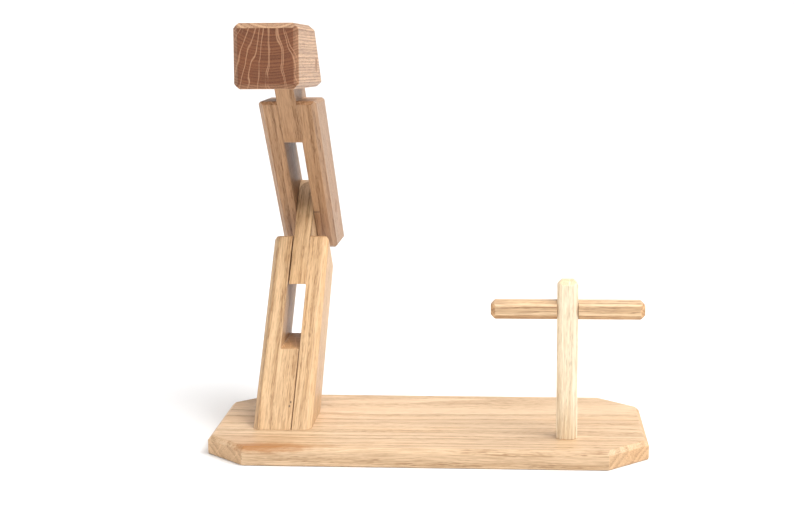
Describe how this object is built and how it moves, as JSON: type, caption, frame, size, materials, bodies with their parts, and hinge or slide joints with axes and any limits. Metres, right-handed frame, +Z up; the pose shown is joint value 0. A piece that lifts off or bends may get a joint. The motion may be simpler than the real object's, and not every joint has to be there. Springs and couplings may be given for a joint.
{
  "type": "headphone stand",
  "caption": "Wooden headphone stand: a long board, a folding zigzag arm of laminated links with a head beam for the headband, and a small T-shaped cable hook.",
  "frame": {"origin": "middle of the board's underside", "axes": "+Z up, +X along the board from the arm towards the cable hook, -Y towards the side that the head beam's front end faces"},
  "size_m": [0.278, 0.2491, 0.2712],
  "materials": {
    "board_oak": "satin oil",
    "foot_oak": "satin oil",
    "link_oak": "satin oil",
    "head_oak": "satin oil",
    "hook_oak": "satin oil",
    "dowel_oak": "satin oil",
    "screw_steel": "zinc plated"
  },
  "bodies": {
    "stand": {"base_board": "board_oak", "lower_left_half": "foot_oak", "lower_right_half": "foot_oak", "lower_dowels": "dowel_oak", "hook_post": "hook_oak", "hook_bar": "hook_oak", "arm_screws": "screw_steel", "hook_screw": "screw_steel"},
    "upper_arm": {"upper_left_layer": "link_oak", "upper_right_half": "link_oak", "upper_dowel": "dowel_oak", "elbow_pin": "dowel_oak"},
    "head": {"head_beam": "head_oak", "head_pin": "dowel_oak"}
  },
  "joints": [
    {"name": "elbow", "type": "hinge", "parent": "stand", "child": "upper_arm", "pos_m": [-0.094, 0.12376, 0.13782], "axis": [1, 0, 0], "range_deg": [-55, 35]},
    {"name": "head_tilt", "type": "hinge", "parent": "upper_arm", "child": "head", "pos_m": [-0.0937, 0.01819, 0.2434], "axis": [1, 0, 0], "range_deg": [-12, 40]}
  ]
}
